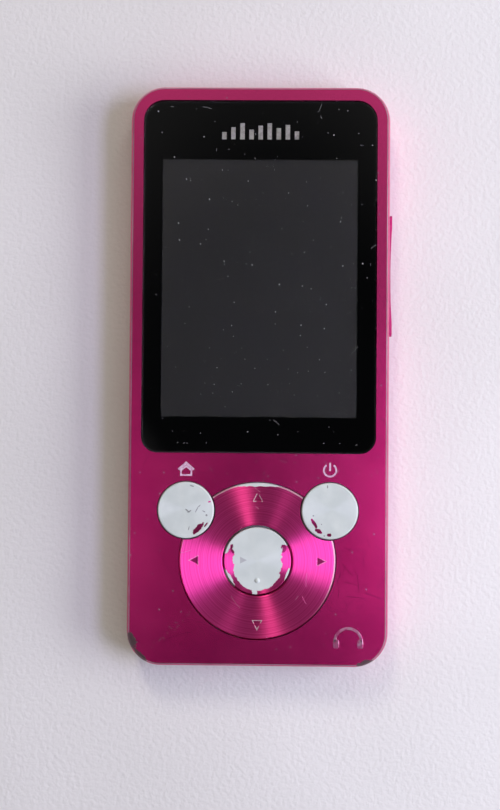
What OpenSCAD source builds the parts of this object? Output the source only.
// Pocket digital audio player, modelled as the assembly that comes apart on a bench.
// X runs across the player, Y up its length, Z from the back face (z = 0) to the front face.

/* [Body] */
// Overall width of the casing
body_w = 41.6; // [41:0.1:43]
// Overall length of the casing
body_h = 92.5; // [92.2:0.1:94]
// Thickness from the back face to the front face
body_d = 7.2; // [7.1:0.1:7.6]
// Corner radius of the casing in plan
corner_r = 5.5; // [5:0.1:6]
// Bright-cut chamfer round the front face
front_chamfer = 0.3; // [0.2:0.05:0.4]
// How far the side swells out below the chamfer
side_bulge = 0.3; // [0.2:0.05:0.4]
// Thickness of the aluminium front and of its side walls
metal_t = 1.0; // [0.9:0.05:1.1]
// Visible side height of the rear cover
rear_side = 1.2; // [1.1:0.05:1.3]

/* [Display] */
// Width of the opening that holds the display window
glass_w = 37.3; // [36.8:0.1:37.5]
// Top edge of the opening
glass_top = 43.9; // [43.6:0.1:44]
// Bottom edge of the opening
glass_bottom = -12.4; // [-12.6:0.1:-12.3]
// Corner radius at the top of the opening
glass_top_r = 3.3; // [3:0.1:3.6]
// Corner radius at the bottom of the opening
glass_bottom_r = 2.6; // [2.3:0.1:2.9]
// Gap all round the display window
glass_gap = 0.15; // [0.1:0.01:0.2]
// Width of the clear area in the printed mask
view_w = 31.2; // [30.8:0.1:31.4]
// Length of the clear area in the printed mask
view_h = 41.2; // [40.8:0.1:41.4]
// Height of the clear area's centre above the casing's centre
view_y = 13.95; // [13.8:0.05:14.1]

/* [Keys] */
// Height of the key cluster's centre, below the casing's centre
nav_y = -29.4; // [-29.5:0.05:-29.2]
// Radius of the four-way ring
nav_r = 12.35; // [12.2:0.05:12.4]
// Radius of the play key
play_r = 5.3; // [5.2:0.05:5.35]
// Radius of the home and option keys
side_key_r = 4.48; // [4.4:0.02:4.5]
// Sideways distance of the home and option keys
side_key_x = 11.4; // [11.3:0.05:11.5]
// Height of the home and option keys' centres
side_key_y = -21.45; // [-21.5:0.05:-21.4]
// Travel of the home, option and play keys
key_travel = 0.2; // [0.15:0.01:0.2]

/* [Side and back controls] */
// Length of the volume rocker
rocker_l = 19.5; // [19:0.1:19.6]
// Height of the rocker's centre above the casing's centre
rocker_y = 16.2; // [16:0.1:16.4]
// How far the rocker stands out of the side
rocker_out = 0.42; // [0.35:0.01:0.5]
// Travel of the hold slider
hold_travel = 1.8; // [1.5:0.1:1.8]

/* [Ports] */
// Bore radius of the headphone socket
jack_r = 1.8; // [1.78:0.01:1.82]
// Length of the headphone socket's bore
jack_l = 13.8; // [13.6:0.1:13.8]
// Sideways place of the headphone socket
jack_x = -12.4; // [-12.5:0.05:-12.3]
// Sideways place of the dock socket
dock_x = 3.6; // [3.4:0.1:3.8]
// Height of both sockets' centres above the back face
port_z = 3.55; // [3.5:0.01:3.6]
// Contacts in the dock socket
dock_pins = 22; // [20:1:24]

/* [Hidden] */
$fn = 96;
eps = 0.01;

// Levels through the thickness
face_z = body_d;
swell_z = face_z - 1.8;
swell_r = 5.2;
panel_under = face_z - metal_t;
cover_t = 1.0;
lip_top = 2.2;
lip_t = 0.5;
board_z0 = 3.9;
board_t = 0.8;
board_z1 = board_z0 + board_t;
plate_z0 = 3.7;
plate_z1 = 4.15;
tape_z = 6.1;

// Inside of the metal walls
in_w = body_w - 2 * metal_t;
in_h = body_h - 2 * metal_t;
in_r = corner_r - metal_t;
fit = 0.05;

// Display window and the layers behind it
win_t = 0.9;
win_recess = 0.05;
win_z1 = face_z - win_recess;
win_z0 = win_z1 - win_t;
win_bevel = 0.15;
mask_t = win_z0 - 6.2;
lcd_w = 35.0;
lcd_top = 36.9;
lcd_bottom = -11.0;
lcd_z0 = 4.2;
light_t = 0.95;
tray_wall = 1.0;
tray_floor = 0.2;
lamp_wall = 2.5;
cell_z0 = lcd_z0 + light_t;
glass_sheet = 0.35;
cell_z1 = cell_z0 + 2 * glass_sheet;
polar_z1 = cell_z1 + 0.15;

// Key stack
ring_z0 = 6.2;
ring_hole_r = nav_r + 0.15;
ring_in_r = play_r + 0.3;
side_hole_r = side_key_r + 0.14;
ring_scoop_r = side_key_r + 0.22;
flange_z0 = 5.6;
flange_z1 = 5.85;
flange_r = nav_r + 0.75;
nub_z0 = 4.97;
nub_r = 0.9;
nav_nub_at = 8.0;
nav_nub_r = 0.7;
dome_h = 0.25;
dome_t = 0.06;
dome_r = 2.0;
nav_dome_r = 1.5;
web_z0 = 5.35;
web_z1 = 5.6;
web_r0 = 6.5;
web_r1 = 7.15;
rib_r = 0.1;
low_axis_z = 5.24;
high_axis_z = 6.08;
side_key_top = face_z + 0.2;
play_top = face_z + 0.05;
mat_z0 = 5.0;
mat_z1 = 5.12;

// Volume rocker
rocker_z = 4.2;
rocker_high = 1.5;
rocker_gap = 0.12;
rocker_flange_x0 = 19.25;
rocker_flange_x1 = 19.55;
switch_offset = 7;
pivot_x = 19.4;
pivot_r = 0.3;
volume_flex_x = 17.78;
volume_flex_t = 0.15;
switch_x = volume_flex_x + volume_flex_t;
volume_socket_x = 16.5;
tongue_x0 = 15.9;
tongue_y0 = -13.85;
tongue_y1 = -12.65;

// Back controls
hold_x = 13.2;
hold_y = -22;
reset_x = -12.6;
reset_y = -19.5;
reset_r = 0.65;

// Battery plug and the battery's own small board
plug_x = -8.6;
plug_y = -14.9;
board_edge_y = -11.4;

// Snap bumps: side and height of those on the long sides, sideways places of those at the top
side_snaps = [[1, 32], [1, -6], [-1, 32], [-1, 10], [-1, -12]];
top_snaps = [-9, 9];
snap_out = 0.15;
snap_z = 1.7;

// Ports
port_y0 = -body_h / 2;
jack_nose_r = 2.25;
dock_slot_w = 17.0;
dock_slot_high = 2.4;
dock_w = 18.6;
dock_high = 2.8;
dock_l = 5.6;
dock_y0 = -45.0;

// Screws
case_screw_at = [[17.0, -40.8], [-17.0, -40.8]];
board_screw_at = [[17.9, -15.2], [-17.9, -15.2], [16.9, -35.5]];
screw_r = 0.68;
screw_hole_r = 0.7;

aluminium = [0.72, 0.10, 0.36];
bare_plastic = [0.80, 0.83, 0.83];
pink_plastic = [0.66, 0.09, 0.34];
black_print = [0.02, 0.02, 0.03];
steel = [0.75, 0.75, 0.77];
board_green = [0.05, 0.30, 0.16];
chip_black = [0.06, 0.06, 0.07];
gold = [0.85, 0.65, 0.25];

// ---------- shared shapes ----------

// Rectangle with true round corners, centred on the origin.
module round_rect(w, h, r) {
    square([w - 2 * r, h], center = true);
    square([w, h - 2 * r], center = true);
    for (x = [-1, 1], y = [-1, 1])
        translate([x * (w / 2 - r), y * (h / 2 - r)]) circle(r);
}

// Round-cornered prism from z0 to z1.
module round_prism(w, h, r, z0, z1) {
    translate([0, 0, z0]) linear_extrude(z1 - z0) round_rect(w, h, r);
}

// Sweeps a 2D edge profile round a rounded rectangle and fills its middle.
// In the profile x runs outward from the corner's axis and y runs up.
module swept_slab(w, h, r, z0, z1) {
    for (k = [0:3]) {
        a = k % 2 == 0 ? w : h;
        b = k % 2 == 0 ? h : w;
        rotate([0, 0, 90 * k]) {
            translate([a / 2 - r, b / 2 - r, 0]) rotate_extrude(angle = 90) children();
            translate([a / 2 - r, b / 2 - r, 0]) rotate([90, 0, 0]) linear_extrude(b - 2 * r) children();
        }
    }
    translate([-(w / 2 - r), -(h / 2 - r), z0]) cube([w - 2 * r, h - 2 * r, z1 - z0]);
}

// Outline with its own radius at the top and at the bottom, grown outward by grow.
module window_outline(grow = 0) {
    w = glass_w + 2 * grow;
    rt = glass_top_r + grow;
    rb = glass_bottom_r + grow;
    y0 = glass_bottom - grow;
    y1 = glass_top + grow;
    for (s = [-1, 1]) {
        translate([s * (w / 2 - rt), y1 - rt]) circle(rt);
        translate([s * (w / 2 - rb), y0 + rb]) circle(rb);
    }
    translate([-(w / 2 - rt), y1 - rt]) square([w - 2 * rt, rt]);
    translate([-(w / 2 - rb), y0]) square([w - 2 * rb, rb]);
    translate([-w / 2, y0 + rb]) square([w, y1 - rt - y0 - rb]);
}

// Box given by its low corner and its high corner.
module box(low, high) {
    translate(low) cube(high - low);
}

// Upright cylinder from z0 to z1 at a point in plan.
module post(x, y, z0, z1, r) {
    translate([x, y, z0]) cylinder(h = z1 - z0, r = r);
}

// Children at every given point in plan.
module at_points(points) {
    for (p = points) translate([p[0], p[1], 0]) children();
}

nav_points = [for (a = [0:90:270]) [nav_nub_at * cos(a), nav_y + nav_nub_at * sin(a)]];

// ---------- casing ----------

// Outer skin of the front panel: flat face, cut chamfer, then a side that swells out and drops straight.
module panel_profile() {
    foot = face_z - front_chamfer;
    turn = side_bulge + front_chamfer;
    swell_centre = (foot + swell_z) / 2 - side_bulge * swell_r / (foot - swell_z);
    reach = sqrt(swell_r * swell_r - (swell_z - swell_centre) * (swell_z - swell_centre));
    difference() {
        polygon([
            [0, rear_side], [corner_r, rear_side], [corner_r, face_z - turn],
            [corner_r - turn, face_z], [0, face_z]
        ]);
        difference() {
            translate([corner_r - 1, swell_centre]) square([2, 3]);
            translate([corner_r - reach, swell_centre]) circle(swell_r);
        }
    }
}

module key_opening() {
    translate([0, nav_y]) circle(ring_hole_r);
    for (s = [-1, 1]) translate([s * side_key_x, side_key_y]) circle(side_hole_r);
}

// A slot with round ends through the right wall.
module rocker_slot(grow) {
    high = rocker_high + 2 * grow;
    long = rocker_l + 2 * grow;
    translate([0, rocker_y, rocker_z]) rotate([90, 0, 90]) linear_extrude(2 * body_w)
        round_rect(long, high, high / 2 - 0.05);
}

// Snap bumps round the rear cover's lip. grow makes the pockets that they click into.
module snap_bumps(grow) {
    long = 4 + 2 * grow;
    deep = 2 * (snap_out + grow);
    high = 0.4 + 2 * grow;
    for (s = side_snaps)
        translate([s[0] * (in_w / 2 - fit), s[1], snap_z]) cube([deep, long, high], center = true);
    for (x = top_snaps)
        translate([x, in_h / 2 - fit, snap_z]) cube([long, deep, high], center = true);
}

module front_panel() {
    color(aluminium) difference() {
        swept_slab(body_w, body_h, corner_r, rear_side, face_z) panel_profile();
        round_prism(in_w, in_h, in_r, rear_side - 1, panel_under);
        translate([0, 0, panel_under - 1]) linear_extrude(metal_t + 2) window_outline();
        translate([0, 0, panel_under - 1]) linear_extrude(metal_t + 2) key_opening();
        rocker_slot(rocker_gap);
        translate([jack_x, port_y0 - 1, port_z]) rotate([-90, 0, 0])
            cylinder(h = metal_t + 2, r = jack_nose_r + fit);
        translate([dock_x, port_y0 - 1, port_z]) rotate([-90, 0, 0])
            linear_extrude(metal_t + 2) round_rect(dock_slot_w, dock_slot_high, 0.7);
        snap_bumps(0.08);
    }
}

// The rear cover's edge: flat back, a round of rear_side - 0.1 up to the parting line.
module cover_profile() {
    r = rear_side - 0.1;
    difference() {
        square([corner_r, rear_side]);
        translate([corner_r - r, -eps]) square([r + eps, r + eps]);
    }
    intersection() {
        translate([corner_r - r, r]) circle(r);
        translate([corner_r - r, 0]) square([r, r]);
    }
}

module cover_lip() {
    difference() {
        round_prism(in_w - 2 * fit, in_h - 2 * fit, in_r - fit, cover_t, lip_top);
        round_prism(in_w - 2 * fit - 2 * lip_t, in_h - 2 * fit - 2 * lip_t, in_r - fit - lip_t,
                    cover_t - 1, lip_top + 1);
        box([jack_x - 3.4, -body_h / 2, rear_side], [dock_x + 9.9, -body_h / 2 + 3, lip_top + 1]);
    }
}

// Dish in the back for the hold slider's thumb piece.
module hold_dish() {
    translate([hold_x, hold_y, -1]) linear_extrude(1 + 0.5) round_rect(4.6, 8.2, 2.2);
}

module rear_cover() {
    color(pink_plastic) difference() {
        union() {
            difference() {
                swept_slab(body_w, body_h, corner_r, 0, rear_side) cover_profile();
                round_prism(in_w - 2 * fit - 2 * lip_t, in_h - 2 * fit - 2 * lip_t,
                            in_r - fit - lip_t, cover_t, rear_side + 1);
            }
            cover_lip();
            snap_bumps(0);
            at_points(case_screw_at) post(0, 0, cover_t - eps, 1.9, 2.0);
        }
        hold_dish();
        translate([hold_x, hold_y, -1]) linear_extrude(3) round_rect(1.5, 1.5 + hold_travel, 0.5);
        post(reset_x, reset_y, -1, 3, 0.7);
        at_points(case_screw_at) {
            post(0, 0, -1, 1.0, 1.35);
            post(0, 0, -1, 3, 0.8);
        }
    }
}

// Plastic frame between the halves: display pocket in front, battery bay behind, two legs beside the board.
module mid_frame() {
    clear = 0.15;
    leg_x0 = 16.7;
    leg_x1 = in_w / 2 - clear;
    leg_y0 = -38.5;
    leg_y1 = -11.5;
    ear_x1 = 18.4;
    top_y = in_h / 2 - clear;
    sill_z = 5.95;
    color([0.16, 0.16, 0.17]) difference() {
        union() {
            difference() {
                round_prism(2 * leg_x1, 2 * top_y, in_r - clear, 2.3, panel_under);
                box([-30, -60, 0], [30, -12.0, 10]);
            }
            for (side = [0, 1]) mirror([side, 0, 0]) {
                box([leg_x0, leg_y0, board_z1 + fit], [leg_x1, leg_y1, panel_under]);
                box([leg_x0, case_screw_at[0][1], board_z1 + fit], [ear_x1, leg_y0 + 0.5, panel_under]);
            }
            at_points(case_screw_at) post(0, 0, 1.95, panel_under, 1.6);
            // sill behind the gap along the window's lower edge
            box([-leg_x1, glass_bottom - 0.5, sill_z], [leg_x1, -11.5, panel_under]);
        }
        // display pocket, and the step that takes the window's tape
        box([-lcd_w / 2 - 0.25, lcd_bottom - 0.25, plate_z1], [lcd_w / 2 + 0.25, lcd_top + 0.3, 10]);
        translate([0, 0, tape_z]) linear_extrude(2) window_outline(0.05);
        // battery bay
        box([-17.7, -20, 1], [17.7, 42.0, plate_z0]);
        // pockets above the display
        for (x = [-10.5, 0, 10.5]) box([x - 4.4, 38.6, 4.8], [x + 4.4, 42.2, 10]);
        // room for the volume switches
        box([17.7, rocker_y - 11.6, 1], [30, rocker_y + 11.6, 10]);
        // way out for the display's flex and for the volume flex
        box([-7, -13, plate_z1], [7, lcd_bottom, sill_z]);
        box([17.6, -13, 1], [18.1, 6, plate_z0]);
        at_points(case_screw_at) post(0, 0, 1, 4.9, screw_hole_r);
        at_points(board_screw_at) post(0, 0, board_z1 - 1, panel_under - 0.25, screw_hole_r);
    }
}

// ---------- display ----------

module display_window() {
    outer = -glass_gap;
    color([0.05, 0.06, 0.08, 0.4]) union() {
        translate([0, 0, win_z0]) linear_extrude(win_t - win_bevel) window_outline(outer);
        translate([0, 0, win_z1 - win_bevel - eps]) linear_extrude(win_bevel + eps)
            window_outline(outer - win_bevel);
    }
}

module view_opening(grow) {
    translate([0, view_y]) square([view_w + 2 * grow, view_h + 2 * grow], center = true);
}

module window_mask() {
    color(black_print) translate([0, 0, win_z0 - mask_t]) linear_extrude(mask_t) difference() {
        window_outline(-glass_gap - 0.1);
        view_opening(0);
    }
}

module window_tape() {
    tape_t = win_z0 - mask_t - tape_z;
    color([0.1, 0.1, 0.1]) translate([0, 0, tape_z]) linear_extrude(tape_t) difference() {
        window_outline(-0.35);
        translate([-lcd_w / 2 - 0.1, lcd_bottom - 0.1])
            square([lcd_w + 0.2, lcd_top - lcd_bottom + 0.3]);
    }
}

module lcd_gasket() {
    color([0.12, 0.12, 0.12]) translate([0, 0, polar_z1]) linear_extrude(win_z0 - mask_t - polar_z1)
        difference() {
            view_opening(1.3);
            view_opening(0.3);
        }
}

module lcd_polarizer() {
    color([0.14, 0.14, 0.14]) translate([0, 0, cell_z1]) linear_extrude(polar_z1 - cell_z1) view_opening(1.4);
}

// Two bonded glass sheets; the lower one carries the driver ledge.
module lcd_cell() {
    half = lcd_w / 2;
    ledge_z = cell_z0 + glass_sheet;
    driver_w = 16;
    color([0.30, 0.33, 0.35]) union() {
        box([-half, lcd_bottom, cell_z0], [half, lcd_top, ledge_z]);
        box([-half, lcd_bottom + 3.0, ledge_z - eps], [half, lcd_top, cell_z1]);
        box([-driver_w / 2, lcd_bottom + 0.6, ledge_z - eps],
            [driver_w / 2, lcd_bottom + 1.8, ledge_z + 0.25]);
    }
}

// Tray of the backlight. Its lower wall is wider, because the lamps stand there.
module backlight_frame() {
    half = lcd_w / 2;
    color([0.92, 0.92, 0.90]) difference() {
        box([-half, lcd_bottom, lcd_z0], [half, lcd_top, cell_z0]);
        box([-half + tray_wall, lcd_bottom + lamp_wall, lcd_z0 + tray_floor],
            [half - tray_wall, lcd_top - tray_wall, cell_z0 + 1]);
    }
}

module light_guide() {
    half = lcd_w / 2;
    side = tray_wall + fit;
    color([0.85, 0.9, 0.95, 0.6])
        box([-half + side, lcd_bottom + lamp_wall + fit, lcd_z0 + tray_floor + 0.02],
            [half - side, lcd_top - side, cell_z0 - 0.02]);
}

// Ribbon from the glass ledge down to its socket on the board.
module lcd_flex() {
    color([0.72, 0.42, 0.12]) union() {
        box([-6, -11.35, cell_z0 + glass_sheet], [6, lcd_bottom + 0.55, cell_z0 + glass_sheet + 0.12]);
        box([-6, -14.6, cell_z0 + glass_sheet + 0.1], [6, -11.3, cell_z0 + glass_sheet + 0.22]);
    }
}

// ---------- board and what is on it ----------

module board_outline() {
    difference() {
        translate([0, -28.45]) square([38.6, 32.3], center = true);
        translate([-30, -60]) square([30 + jack_x + 2.7, 28.3]);
        translate([dock_x - dock_w / 2 - 0.2, -60]) square([dock_w + 0.4, 60 + dock_y0 + dock_l + 0.2]);
        translate([15.0, -60]) square([10, 22.2]);
    }
}

module main_board() {
    color(board_green) difference() {
        translate([0, 0, board_z0]) linear_extrude(board_t) board_outline();
        at_points(board_screw_at) post(0, 0, 0, 10, 0.8);
    }
}

module lcd_connector() {
    color([0.88, 0.84, 0.74]) difference() {
        box([-6.8, -14.9, board_z1], [6.8, -12.8, board_z1 + 1.15]);
        box([-6.05, -14.65, board_z1 + 0.85], [6.05, -12.7, board_z1 + 1.05]);
    }
}

module shield_can() {
    color(steel) difference() {
        box([-4.0, -29.2, 2.6], [8.6, -15.4, board_z0]);
        box([-3.8, -29.0, 2.8], [8.4, -15.6, board_z0 + 1]);
    }
}

module processor_chip() {
    color(chip_black) box([-2.2, -27.0, 3.0], [6.8, -18.0, board_z0]);
}

module flash_chip() {
    color(chip_black) box([-8.6, -38.4, 2.9], [3.4, -30.4, board_z0]);
}

module tuner_chip() {
    color(chip_black) box([9.4, -35.4, 3.1], [13.4, -31.4, board_z0]);
}

module crystal() {
    color(steel) translate([6.4, -32.6, 3.2]) linear_extrude(board_z0 - 3.2) round_rect(3.2, 2.5, 0.4);
}

// Small resistors and capacitors in two rows beside the shield.
module board_components() {
    color([0.55, 0.42, 0.30]) union() {
        for (i = [0:6]) box([-8.2 + 1.9 * i, -14.6, 3.45], [-7.2 + 1.9 * i, -14.0, board_z0]);
        for (i = [0:5]) box([-6.0, -28.6 + 2.1 * i, 3.45], [-5.2, -27.4 + 2.1 * i, board_z0]);
    }
}

// Socket under the board for the volume flex, with a slot that the flex's tongue goes into.
module volume_connector() {
    color([0.88, 0.84, 0.74]) difference() {
        box([13.4, -17.0, 2.9], [volume_socket_x, -12.4, board_z0]);
        box([tongue_x0 - 0.1, tongue_y0 - fit, 3.3], [17, tongue_y1 + fit, 3.55]);
    }
}

// ---------- keys ----------

module dome(r) {
    big = (r * r + dome_h * dome_h) / (2 * dome_h);
    translate([0, 0, board_z1]) intersection() {
        difference() {
            translate([0, 0, dome_h - big]) sphere(big);
            translate([0, 0, dome_h - big]) sphere(big - dome_t);
        }
        cylinder(h = 2 * dome_h, r = r);
    }
}

module dome_film() {
    color([0.85, 0.88, 0.90, 0.7]) difference() {
        translate([0, 0, board_z1]) linear_extrude(0.05) difference() {
            translate([-16.2, -38.9]) square([32.4, 23.6]);
            translate([-30, -60]) square([30 + jack_x + 2.9, 28.1]);
            translate([14.8, -60]) square([10, 22.6]);
            for (s = [-1, 1]) translate([s * side_key_x, side_key_y]) circle(dome_r + 0.15);
            translate([0, nav_y]) circle(dome_r + 0.15);
            for (p = nav_points) translate(p) circle(nav_dome_r + 0.15);
        }
        box([-7, -16, 0], [7, -10, 10]);
    }
}

module home_dome() {
    color(steel) translate([-side_key_x, side_key_y, 0]) dome(dome_r);
}

module option_dome() {
    color(steel) translate([side_key_x, side_key_y, 0]) dome(dome_r);
}

module play_dome() {
    color(steel) translate([0, nav_y, 0]) dome(dome_r);
}

module nav_domes() {
    color(steel) at_points(nav_points) dome(nav_dome_r);
}

// Silicone sheet that seals the keys, on a low wall round each dome.
module key_mat() {
    color([0.82, 0.82, 0.84]) difference() {
        union() {
            translate([0, 0, mat_z0]) linear_extrude(mat_z1 - mat_z0) difference() {
                translate([-16.2, -43.5]) square([32.4, 28.0]);
                translate([-30, -60]) square([30 + jack_x + 2.7, 28.1]);
                translate([14.6, -60]) square([10, 22.6]);
            }
            for (s = [-1, 1]) post(s * side_key_x, side_key_y, board_z1 + 0.05, mat_z1, dome_r + 0.6);
            post(0, nav_y, board_z1 + 0.05, mat_z1, dome_r + 0.6);
            at_points(nav_points) post(0, 0, board_z1 + 0.05, mat_z1, nav_dome_r + 0.5);
        }
        for (s = [-1, 1]) post(s * side_key_x, side_key_y, 0, mat_z0, dome_r + 0.1);
        post(0, nav_y, 0, mat_z0, dome_r + 0.1);
        at_points(nav_points) post(0, 0, 0, mat_z0, nav_dome_r + 0.1);
        for (s = [-1, 1]) post(s * side_key_x, side_key_y, 0, 10, nub_r + 0.3);
        post(0, nav_y, 0, 10, nub_r + 0.3);
        at_points(nav_points) post(0, 0, 0, 10, nav_nub_r + 0.3);
    }
}

// Round key cap with a rolled top edge, from z0 up to top.
module round_cap(r, z0, top, edge) {
    rotate_extrude() {
        difference() {
            translate([0, z0]) square([r, top - z0]);
            translate([r - edge, top - edge]) square([edge + eps, edge + eps]);
        }
        intersection() {
            translate([r - edge, top - edge]) circle(edge);
            translate([r - edge, top - edge]) square([edge, edge]);
        }
    }
}

// Home and option keys: the retaining tabs sit on the side away from the ring.
module side_key(s) {
    translate([s * side_key_x, side_key_y, 0]) {
        round_cap(side_key_r, flange_z0, side_key_top, 0.25);
        for (a = [95, 175]) {
            angle = s < 0 ? a : 180 - a;
            translate([0, 0, flange_z0]) linear_extrude(flange_z1 - flange_z0) rotate(angle)
                translate([side_key_r - 0.4, -1.3]) square([0.9, 2.6]);
        }
    }
}

module side_plunger(s) {
    translate([s * side_key_x, side_key_y, 0]) union() {
        post(0, 0, nub_z0, 5.45, nub_r);
        post(0, 0, 5.42, flange_z0, 3.4);
    }
}

module home_button() {
    color(bare_plastic) side_key(-1);
}

module home_plunger() {
    color([0.82, 0.82, 0.84]) side_plunger(-1);
}

module option_button() {
    color(bare_plastic) side_key(1);
}

module option_plunger() {
    color([0.82, 0.82, 0.84]) side_plunger(1);
}

module play_button() {
    color(bare_plastic) translate([0, nav_y, 0]) union() {
        round_cap(play_r, ring_z0 - eps, play_top, 0.15);
        post(0, 0, 5.5, ring_z0, 4.9);
        post(0, 0, 5.5, 5.75, 6.0);
        // finger-guide dot
        translate([0, -3.1, play_top - 0.35]) intersection() {
            sphere(0.55);
            cylinder(h = 1, r = 1);
        }
    }
}

module play_plunger() {
    color([0.82, 0.82, 0.84]) translate([0, nav_y, 0]) union() {
        post(0, 0, nub_z0, 5.45, nub_r);
        post(0, 0, 5.35, 5.5, 3.4);
    }
}

// Sunk triangle that points along +X from its centre.
module arrow_cut() {
    translate([0, 0, face_z - 0.12]) linear_extrude(1) polygon([[0.75, 0], [-0.7, 0.73], [-0.7, -0.73]]);
}

module nav_ring() {
    color(aluminium) difference() {
        translate([0, nav_y, 0]) union() {
            rotate_extrude() polygon([
                [ring_in_r, ring_z0], [nav_r, ring_z0], [nav_r, face_z - 0.15],
                [nav_r - 0.15, face_z], [ring_in_r + 0.15, face_z], [ring_in_r, face_z - 0.15]
            ]);
            for (a = [0:90:270]) {
                translate([0, 0, flange_z0]) linear_extrude(flange_z1 - flange_z0) rotate(a)
                    translate([nav_r - 1.1, -2.3]) square([flange_r - nav_r + 1.1, 4.6]);
                translate([0, 0, flange_z1 - eps]) linear_extrude(ring_z0 - flange_z1 + 2 * eps) rotate(a)
                    translate([nav_r - 1.1, -2.3]) square([0.8, 4.6]);
            }
        }
        for (s = [-1, 1]) post(s * side_key_x, side_key_y, 0, 20, ring_scoop_r);
        for (a = [0:90:270]) translate([0, nav_y, 0]) rotate(a) translate([10.1, 0, 0]) arrow_cut();
    }
}

module nav_plungers() {
    color([0.82, 0.82, 0.84]) at_points(nav_points) post(0, 0, nub_z0, ring_z0, nav_nub_r);
}

// Silicone ring that lets the four-way ring tip both ways.
// Its two low feet lie across the player on one axis, its two high feet lie along the player on the other.
module nav_web() {
    foot_at = (web_r0 + web_r1) / 2;
    foot_l = 0.5;
    neck = 1.6 * rib_r;
    color([0.78, 0.78, 0.80]) translate([0, nav_y, 0]) {
        difference() {
            post(0, 0, web_z0, web_z1, web_r1);
            post(0, 0, web_z0 - 1, web_z1 + 1, web_r0);
        }
        for (s = [-1, 1]) {
            translate([s * foot_at, 0, 0]) {
                box([-foot_l / 2, -neck / 2, low_axis_z], [foot_l / 2, neck / 2, web_z0 + eps]);
                translate([0, 0, low_axis_z]) rotate([0, 90, 0])
                    cylinder(h = foot_l, r = rib_r, center = true);
            }
            translate([0, s * foot_at, 0]) {
                box([-neck / 2, -foot_l / 2, web_z1 - eps], [neck / 2, foot_l / 2, high_axis_z]);
                translate([0, 0, high_axis_z]) rotate([90, 0, 0])
                    cylinder(h = foot_l, r = rib_r, center = true);
            }
        }
    }
}

// ---------- side and back controls ----------

// Long rocker, a little hollow along its length so that each end can be felt.
// A round rib on its back rocks in the fulcrum, and a small pad presses each switch.
module volume_rocker() {
    out_x = body_w / 2 + rocker_out;
    body_x = rocker_flange_x0 + 0.1;
    flange_half_l = rocker_l / 2 + 0.65;
    flange_half_h = 1.2;
    pad = 0.6;
    hollow_r = 120;
    hollow_deep = 0.25;
    color(pink_plastic) translate([0, rocker_y, rocker_z]) difference() {
        union() {
            translate([body_x, 0, 0]) rotate([90, 0, 90]) linear_extrude(out_x - body_x)
                round_rect(rocker_l, rocker_high, rocker_high / 2 - 0.05);
            box([rocker_flange_x0, -flange_half_l, -flange_half_h],
                [rocker_flange_x1, flange_half_l, flange_half_h]);
            for (s = [-1, 1])
                box([rocker_flange_x0 - 0.1, s * switch_offset - pad, -pad],
                    [body_x, s * switch_offset + pad, pad]);
            translate([pivot_x, 0, 0]) cylinder(h = 2 * flange_half_h, r = pivot_r, center = true);
        }
        translate([out_x + hollow_r - hollow_deep, 0, 0])
            cylinder(h = 10, r = hollow_r, center = true, $fn = 720);
    }
}

// Flex behind the rocker: a wide pad for the switches, a strip down the side and a tongue.
module volume_flex() {
    x1 = switch_x;
    color([0.72, 0.42, 0.12]) union() {
        box([volume_flex_x, rocker_y - 11, 2.6], [x1, rocker_y + 11, 5.8]);
        box([volume_flex_x, tongue_y0, 2.5], [x1, rocker_y - 10.9, 3.5]);
        box([tongue_x0, tongue_y0, 3.35], [x1, tongue_y1, 3.5]);
    }
}

// Two flat switches, and between them the grooved fulcrum that carries the rocker's rib.
module volume_switches() {
    body_t = 0.82;
    fulcrum_x1 = 19.2;
    color([0.20, 0.20, 0.22]) {
        for (s = [-1, 1]) translate([switch_x, rocker_y + s * switch_offset, rocker_z]) {
            translate([0, -1.8, -1.2]) cube([body_t, 3.6, 2.4]);
            translate([body_t - 0.02, 0, 0]) rotate([0, 90, 0]) cylinder(h = 0.24, r = 0.7);
        }
        difference() {
            box([switch_x, rocker_y - 0.8, rocker_z - 1.2], [fulcrum_x1, rocker_y + 0.8, rocker_z + 1.2]);
            translate([pivot_x, rocker_y, 0]) cylinder(h = 10, r = pivot_r + fit);
        }
    }
}

// Thumb piece in its dish, neck through the cover, plate inside and a fork round the lever.
module hold_knob() {
    at_y = hold_y - hold_travel / 2;
    color([0.85, 0.86, 0.86]) translate([hold_x, at_y, 0]) difference() {
        union() {
            translate([0, 0, 0.06]) linear_extrude(0.38) round_rect(3.2, 3.4, 0.5);
            translate([0, 0, 0.3]) linear_extrude(0.9) round_rect(1.3, 1.3, 0.3);
            box([-1.7, -2.4, 1.05], [1.7, 2.4, 1.4]);
            for (s = [-1, 1]) box([-0.8, s > 0 ? 0.66 : -1.36, 1.3], [0.8, s > 0 ? 1.36 : -0.66, 2.3]);
        }
        for (y = [-0.9, 0, 0.9]) translate([0, y, 0]) cube([2.4, 0.3, 0.3], center = true);
    }
}

module hold_lever() {
    at_y = hold_y - hold_travel / 2;
    color([0.10, 0.10, 0.10]) translate([hold_x, at_y, 0]) union() {
        box([-0.6, -0.6, 1.6], [0.6, 0.6, 2.9]);
        box([-0.95, -1.0, 2.85], [0.95, 1.0, 3.3]);
    }
}

module hold_switch_body() {
    half = hold_travel / 2;
    color(steel) translate([hold_x, hold_y, 0]) difference() {
        box([-1.6, -3.6, 2.45], [1.6, 3.6, board_z0]);
        box([-0.75, -0.75 - half, 2], [0.75, 0.75 + half, 3]);
        box([-1.1, -1.15 - half, 2.75], [1.1, 1.15 + half, 3.4]);
    }
}

module reset_plunger() {
    color([0.75, 0.1, 0.1]) union() {
        post(reset_x, reset_y, 2.1, 2.95, reset_r);
        post(reset_x, reset_y, 2.8, 3.0, 0.9);
    }
}

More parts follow.
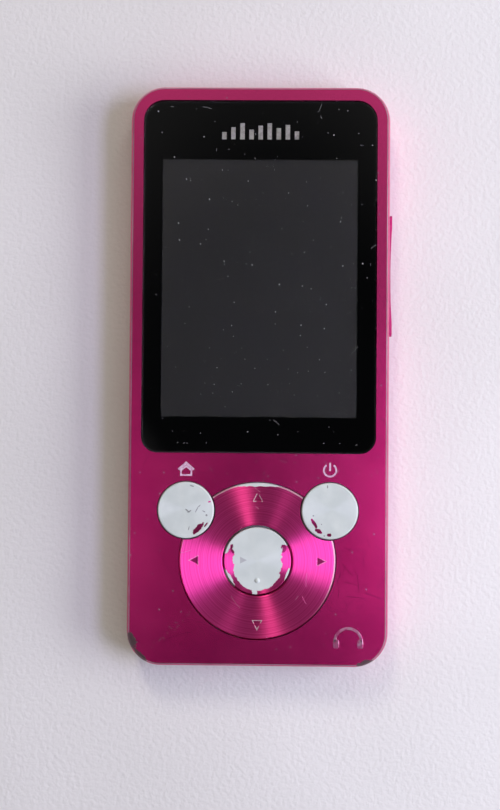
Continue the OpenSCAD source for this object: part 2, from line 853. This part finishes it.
module reset_switch_body() {
    color(steel) difference() {
        translate([reset_x, reset_y, 2.55]) linear_extrude(board_z0 - 2.55) round_rect(3.4, 2.8, 0.3);
        post(reset_x, reset_y, 2, 3, reset_r + 0.05);
        post(reset_x, reset_y, 2.75, 3.35, 1.0);
    }
}

// ---------- battery ----------

module battery_cell() {
    cell_t = 2.25;
    color([0.78, 0.79, 0.80]) union() {
        translate([0, 38.0, 1.35 + cell_t / 2]) rotate([90, 0, 0]) linear_extrude(47.0)
            round_rect(33.6, cell_t, 0.7);
        box([-15.5, 37.9, 2.3], [15.5, 41.0, 2.55]);
    }
}

module battery_board() {
    color(board_green) union() {
        box([-10, board_edge_y, 2.2], [10, -9.05, 2.7]);
        for (x = [-6, -2.5, 2.5, 6]) box([x - 0.9, -10.9, 2.69], [x + 0.9, -9.7, 3.2]);
    }
}

module battery_leads() {
    for (s = [-1, 1]) {
        lead = s < 0 ? [0.75, 0.08, 0.06] : [0.08, 0.08, 0.08];
        color(lead) translate([plug_x + 0.65 * s, board_edge_y, 2.45]) rotate([90, 0, 0])
            cylinder(h = board_edge_y - plug_y, r = 0.35);
    }
}

module battery_plug() {
    color([0.93, 0.92, 0.88]) box([plug_x - 1.8, plug_y - 2.8, 1.7], [plug_x + 1.8, plug_y, board_z0]);
}

module battery_tape() {
    color([0.95, 0.95, 0.93]) box([-13, -6, 3.6], [13, 34, plate_z0]);
}

module rear_pad() {
    color([0.10, 0.10, 0.11]) box([-12, 0, cover_t], [12, 30, 1.35]);
}

// ---------- sockets ----------

// Headphone socket: a nose through the end wall, one long bore, side windows for the springs.
module jack_body() {
    nose_y = port_y0 + 0.1;
    color([0.05, 0.05, 0.06]) translate([jack_x, nose_y, port_z]) difference() {
        union() {
            rotate([-90, 0, 0]) cylinder(h = 2.2, r = jack_nose_r);
            box([-2.5, 1.2, -2.2], [2.5, jack_l, 2.15]);
        }
        translate([0, -1, 0]) rotate([-90, 0, 0]) cylinder(h = jack_l + 2, r = jack_r);
        for (y = [4.2, 7.6, 11.0]) box([-3, y - 0.45, -0.45], [0, y + 0.45, 0.45]);
    }
}

module jack_contacts() {
    nose_y = port_y0 + 0.1;
    color(gold) translate([jack_x, nose_y, port_z])
        for (y = [4.2, 7.6, 11.0]) {
            box([-2.75, y - 0.35, -0.35], [-jack_r - 0.02, y + 0.35, 0.35]);
            box([-2.75, y - 0.35, -0.35], [-2.52, y + 0.35, 1.15]);
        }
}

module dock_shell() {
    color(steel) translate([dock_x, dock_y0, port_z]) difference() {
        rotate([-90, 0, 0]) linear_extrude(dock_l) round_rect(dock_w, dock_high, 0.9);
        translate([0, -1, 0]) rotate([-90, 0, 0]) linear_extrude(dock_l - 0.1 + 1)
            round_rect(dock_w - 0.5, dock_high - 0.5, 0.65);
    }
}

module dock_insert() {
    color([0.04, 0.04, 0.05]) translate([dock_x, dock_y0, port_z]) union() {
        box([-7.8, 0.4, -0.35], [7.8, dock_l - 1.2, 0.35]);
        translate([0, dock_l - 1.3, 0]) rotate([-90, 0, 0]) linear_extrude(1.15)
            round_rect(dock_w - 0.6, dock_high - 0.6, 0.6);
    }
}

module dock_contacts() {
    pitch = 0.66;
    color(gold) translate([dock_x, dock_y0, port_z]) for (i = [0:dock_pins - 1]) {
        x = (i - (dock_pins - 1) / 2) * pitch;
        box([x - 0.14, 0.7, 0.35], [x + 0.14, dock_l - 1.3, 0.42]);
    }
}

// ---------- fasteners ----------

// Small pan-head screw that points up from its head, with a cross slot.
module small_screw(head_z, head_r, head_t, tip_z) {
    difference() {
        union() {
            post(0, 0, head_z, head_z + head_t, head_r);
            post(0, 0, head_z + head_t - eps, tip_z, screw_r);
        }
        for (a = [0, 90]) rotate(a) translate([0, 0, head_z]) cube([1.3, 0.28, 0.6], center = true);
    }
}

module case_screws() {
    color(steel) at_points(case_screw_at) small_screw(0.4, 1.2, 0.55, 4.7);
}

module board_screws() {
    color(steel) at_points(board_screw_at) small_screw(board_z0 - 0.6, 1.2, 0.6, 5.9);
}

// ---------- nodes ----------

front_panel();
rear_cover();
mid_frame();
display_window();
window_mask();
window_tape();
lcd_gasket();
lcd_polarizer();
lcd_cell();
backlight_frame();
light_guide();
lcd_flex();
main_board();
lcd_connector();
shield_can();
processor_chip();
flash_chip();
tuner_chip();
crystal();
board_components();
dome_film();
home_dome();
option_dome();
play_dome();
nav_domes();
key_mat();
home_button();
home_plunger();
option_button();
option_plunger();
play_button();
play_plunger();
nav_ring();
nav_plungers();
nav_web();
volume_rocker();
volume_flex();
volume_switches();
volume_connector();
hold_knob();
hold_lever();
hold_switch_body();
reset_plunger();
reset_switch_body();
battery_cell();
battery_board();
battery_leads();
battery_plug();
battery_tape();
rear_pad();
jack_body();
jack_contacts();
dock_shell();
dock_insert();
dock_contacts();
case_screws();
board_screws();
